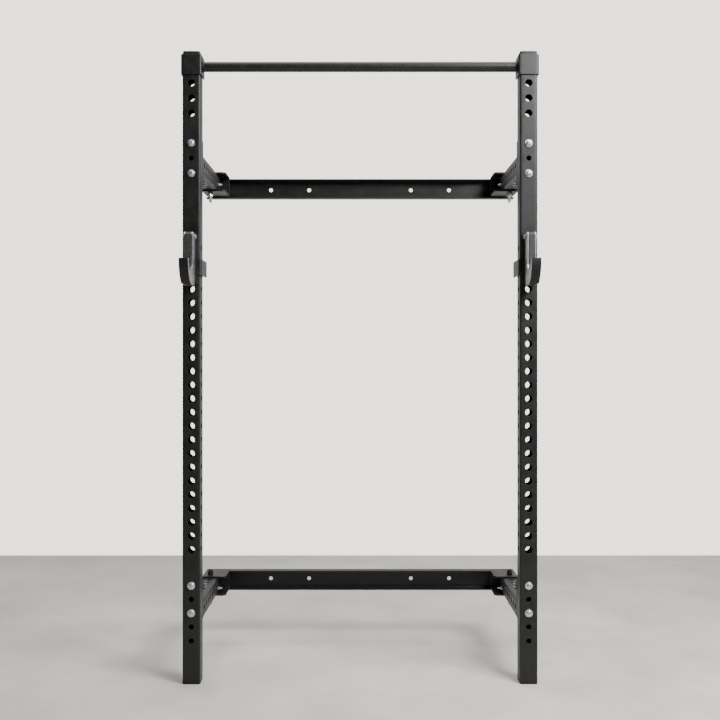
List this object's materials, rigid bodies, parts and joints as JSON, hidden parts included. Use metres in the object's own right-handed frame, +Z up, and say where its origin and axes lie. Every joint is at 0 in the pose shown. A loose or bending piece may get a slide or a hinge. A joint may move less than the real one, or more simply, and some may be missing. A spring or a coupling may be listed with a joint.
{
  "type": "wall-mounted squat rack",
  "caption": "Wall-mounted squat rack: drilled uprights on hinged arms, with a lift-off pull-up bar and J-cups to hold a barbell.",
  "frame": {"origin": "on the floor, midway across the rack, halfway between the fronts of the J-cups and the wall", "axes": "+X to the right as seen from the open front, +Y from the open front to the wall, +Z up"},
  "size_m": [1.2086, 0.71, 2.1323],
  "materials": {
    "powder_coat": "satin black powder coat",
    "moulded_plastic": "moulded black",
    "zinc_plate": "zinc plated",
    "bare_steel": "satin steel",
    "liner_plastic": "smooth matt wear plastic"
  },
  "bodies": {
    "frame": {"upper_channel": "powder_coat", "lower_channel": "powder_coat", "left_upright": "powder_coat", "left_top_cap": "moulded_plastic", "left_foot_cap": "moulded_plastic", "left_upper_arm": "powder_coat", "left_upper_clevis": "powder_coat", "left_upper_bolt_1": "zinc_plate", "left_upper_nut_1": "zinc_plate", "left_upper_bolt_2": "zinc_plate", "left_upper_nut_2": "zinc_plate", "left_upper_arm_bolt": "zinc_plate", "left_upper_pivot_bolt": "zinc_plate", "left_upper_pivot_nut": "zinc_plate", "left_lower_arm": "powder_coat", "left_lower_clevis": "powder_coat", "left_lower_bolt_1": "zinc_plate", "left_lower_nut_1": "zinc_plate", "left_lower_bolt_2": "zinc_plate", "left_lower_nut_2": "zinc_plate", "left_lower_arm_bolt": "zinc_plate", "left_lower_pivot_bolt": "zinc_plate", "left_lower_pivot_nut": "zinc_plate", "right_upright": "powder_coat", "right_top_cap": "moulded_plastic", "right_foot_cap": "moulded_plastic", "right_upper_arm": "powder_coat", "right_upper_clevis": "powder_coat", "right_upper_bolt_1": "zinc_plate", "right_upper_nut_1": "zinc_plate", "right_upper_bolt_2": "zinc_plate", "right_upper_nut_2": "zinc_plate", "right_upper_arm_bolt": "zinc_plate", "right_upper_pivot_bolt": "zinc_plate", "right_upper_pivot_nut": "zinc_plate", "right_lower_arm": "powder_coat", "right_lower_clevis": "powder_coat", "right_lower_bolt_1": "zinc_plate", "right_lower_nut_1": "zinc_plate", "right_lower_bolt_2": "zinc_plate", "right_lower_nut_2": "zinc_plate", "right_lower_arm_bolt": "zinc_plate", "right_lower_pivot_bolt": "zinc_plate", "right_lower_pivot_nut": "zinc_plate"},
    "pull_up_bar": {"pull_up_bar": "powder_coat", "left_saddle": "powder_coat", "right_saddle": "powder_coat"},
    "left_cup": {"left_cup_inner_plate": "bare_steel", "left_cup_outer_plate": "bare_steel", "left_cup_liner": "liner_plastic", "left_cup_pad": "liner_plastic", "left_cup_bolt": "zinc_plate", "left_cup_bracket": "powder_coat"},
    "right_cup": {"right_cup_inner_plate": "bare_steel", "right_cup_outer_plate": "bare_steel", "right_cup_liner": "liner_plastic", "right_cup_pad": "liner_plastic", "right_cup_bolt": "zinc_plate", "right_cup_bracket": "powder_coat"}
  },
  "joints": [
    {"name": "bar_lift", "type": "slide", "parent": "frame", "child": "pull_up_bar", "axis": [0, 0, 1], "range_m": [0, 0.09]},
    {"name": "left_cup_turn", "type": "hinge", "parent": "frame", "child": "left_cup", "pos_m": [-0.568, -0.205, 1.4699], "axis": [0, -1, 0], "range_deg": [0, 90]},
    {"name": "right_cup_turn", "type": "hinge", "parent": "frame", "child": "right_cup", "pos_m": [0.568, -0.205, 1.4699], "axis": [0, 1, 0], "range_deg": [0, 90]}
  ]
}
